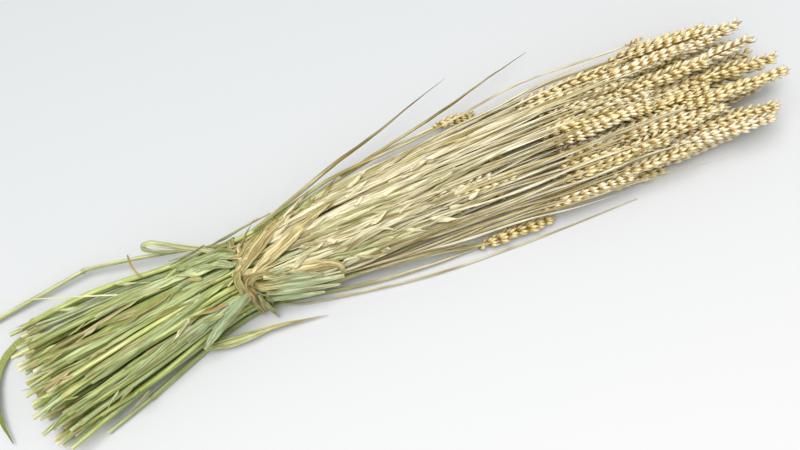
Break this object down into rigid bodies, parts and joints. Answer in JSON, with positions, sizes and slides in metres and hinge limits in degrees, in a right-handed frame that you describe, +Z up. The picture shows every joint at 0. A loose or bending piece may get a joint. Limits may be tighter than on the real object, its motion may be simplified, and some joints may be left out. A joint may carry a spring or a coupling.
{
  "type": "bundle of dried wheat",
  "caption": "Bundle of dried beardless wheat lying on its side: straw stalks with golden ears, green-grey cut ends, loose leaf blades and a waist tied with knotted leaf blades.",
  "frame": {"origin": "middle of the bundle's footprint, on the surface it lies on", "axes": "+X along the stalks towards the ears, +Y across, +Z up"},
  "size_m": [0.7176, 0.1656, 0.0535],
  "materials": {
    "straw": "dry straw with a soft sheen, golden ears, grey-green towards the cut end",
    "leaf_dry": "dry matt leaf, fine lengthwise veins",
    "leaf_green": "half-dried grey-green leaf, fine lengthwise veins",
    "tie_leaf": "dry khaki leaf blades, creased and veined"
  },
  "bodies": {
    "root": {"leaf_cut_end": "leaf_green", "leaf_loop": "leaf_dry", "leaf_low_tie": "leaf_green", "leaf_upper_a": "leaf_dry", "leaf_upper_b": "leaf_dry", "stalk_01": "straw", "stalk_02": "straw", "stalk_03": "straw", "stalk_04": "straw", "stalk_05": "straw", "stalk_06": "straw", "stalk_07": "straw", "stalk_08": "straw", "stalk_09": "straw", "stalk_10": "straw", "stalk_11": "straw", "stalk_12": "straw", "stalk_13": "straw", "stalk_14": "straw", "stalk_15": "straw", "stalk_16": "straw", "stalk_17": "straw", "stalk_18": "straw", "stalk_19": "straw", "stalk_20": "straw", "stalk_21": "straw", "stalk_22": "straw", "stalk_23": "straw", "stalk_24": "straw", "stalk_25": "straw", "stalk_26": "straw", "stalk_27": "straw", "stalk_28": "straw", "stalk_29": "straw", "stalk_30": "straw", "stalk_31": "straw", "stalk_32": "straw", "stalk_33": "straw", "stalk_34": "straw", "stalk_35": "straw", "stalk_36": "straw", "stalk_37": "straw", "stalk_38": "straw", "stalk_39": "straw", "stalk_40": "straw", "stalk_41": "straw", "stalk_42": "straw", "stalk_row_0": "straw", "stalk_row_1": "straw", "stalk_row_2": "straw", "stalk_row_3": "straw", "stalk_row_4": "straw", "strand_low": "leaf_dry", "stray_stem": "leaf_green", "tie_band": "tie_leaf", "tie_blade_a": "tie_leaf", "tie_blade_b": "tie_leaf", "tie_blade_c": "tie_leaf", "tie_knot": "tie_leaf", "tie_tail": "leaf_green"}
  },
  "joints": []
}
